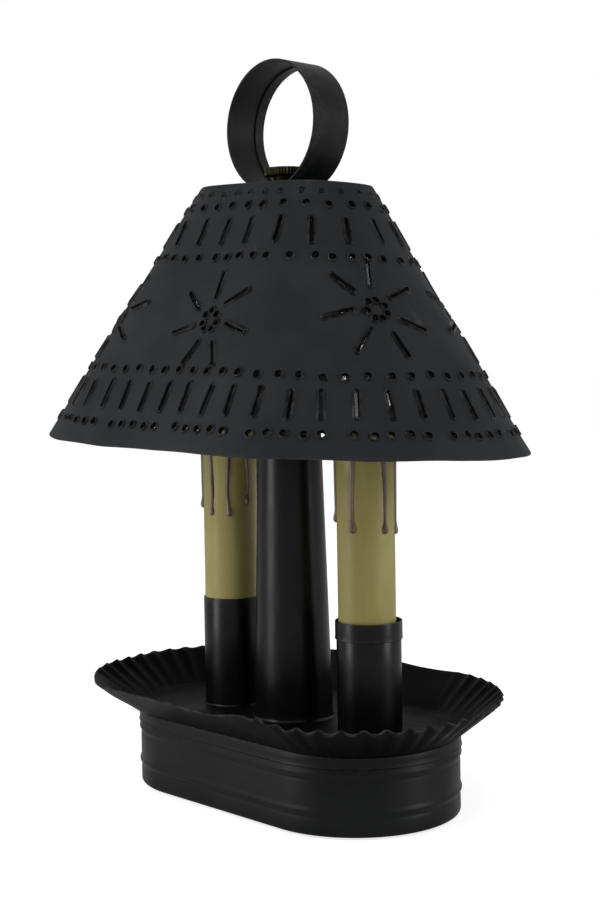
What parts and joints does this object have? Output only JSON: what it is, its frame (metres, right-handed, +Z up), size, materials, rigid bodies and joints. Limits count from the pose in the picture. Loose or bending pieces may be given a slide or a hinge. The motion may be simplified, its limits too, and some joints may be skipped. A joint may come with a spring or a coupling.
{
  "type": "accent lamp",
  "caption": "Oval tin accent lamp with two candle lights on a crimped drip pan and beaded base, under a punched lift-off shade with a strap ring.",
  "frame": {"origin": "middle of the footprint, on the surface the lamp stands on", "axes": "+Z up along the stem, +X along the lamp's long side towards the candle with the collar, -Y to the front"},
  "size_m": [0.2239, 0.152, 0.3059],
  "materials": {
    "black_tin": "satin charcoal-black paint on sheet tin",
    "black_tin_gloss": "semi-gloss black paint on tin tube",
    "antique_brass": "darkened antique brass",
    "brass": "bright brass",
    "zinc_steel": "zinc-plated steel",
    "candle_wax": "waxed olive-tan candle cover with drips",
    "phenolic": "moulded dark insulator",
    "bulb_glass": "clear glass",
    "filament": "bare wire on a glass stem",
    "felt": "black felt",
    "wire_cover": "plastic-covered wire",
    "connector": "moulded plastic",
    "bushing": "moulded black plastic"
  },
  "bodies": {
    "stand": {"base_can": "black_tin", "base_cover": "black_tin", "felt_pad": "felt", "cord_bushing": "bushing", "neck_band": "black_tin", "crimped_pan": "black_tin", "stem_tube": "black_tin_gloss", "stem_cap": "black_tin_gloss", "threaded_rod": "zinc_steel", "rod_washer": "zinc_steel", "rod_nut": "zinc_steel", "right_cup_collar": "black_tin_gloss", "wire_connectors": "connector", "right_candle_cup": "black_tin_gloss", "right_candle_sleeve": "candle_wax", "right_nipple": "zinc_steel", "right_pipe_nuts": "zinc_steel", "right_socket_bracket": "zinc_steel", "right_socket_body": "phenolic", "right_screw_shell": "brass", "right_centre_contact": "brass", "right_lead_wires": "wire_cover", "left_candle_cup": "black_tin_gloss", "left_candle_sleeve": "candle_wax", "left_nipple": "zinc_steel", "left_pipe_nuts": "zinc_steel", "left_socket_bracket": "zinc_steel", "left_socket_body": "phenolic", "left_screw_shell": "brass", "left_centre_contact": "brass", "left_lead_wires": "wire_cover"},
    "shade_frame": {"shade": "black_tin", "shade_bar": "black_tin", "ring_handle": "black_tin"},
    "thumb_nut": {"knurled_nut": "antique_brass"},
    "right_bulb": {"right_bulb_cap": "brass", "right_bulb_glass": "bulb_glass", "right_filament_mount": "filament"},
    "left_bulb": {"left_bulb_cap": "brass", "left_bulb_glass": "bulb_glass", "left_filament_mount": "filament"}
  },
  "joints": [
    {"name": "shade_lift", "type": "slide", "parent": "stand", "child": "shade_frame", "axis": [0, 0, 1], "range_m": [0, 0.12]},
    {"name": "nut_turn", "type": "hinge", "parent": "shade_frame", "child": "thumb_nut", "pos_m": [0, 0, 0.2575], "axis": [0, 0, 1], "continuous": true},
    {"name": "right_bulb_turn", "type": "hinge", "parent": "stand", "child": "right_bulb", "pos_m": [0.0449, 0, 0.15], "axis": [0, 0, 1], "range_deg": [0, 1080]},
    {"name": "left_bulb_turn", "type": "hinge", "parent": "stand", "child": "left_bulb", "pos_m": [-0.0388, 0, 0.15], "axis": [0, 0, 1], "range_deg": [0, 1080]}
  ]
}
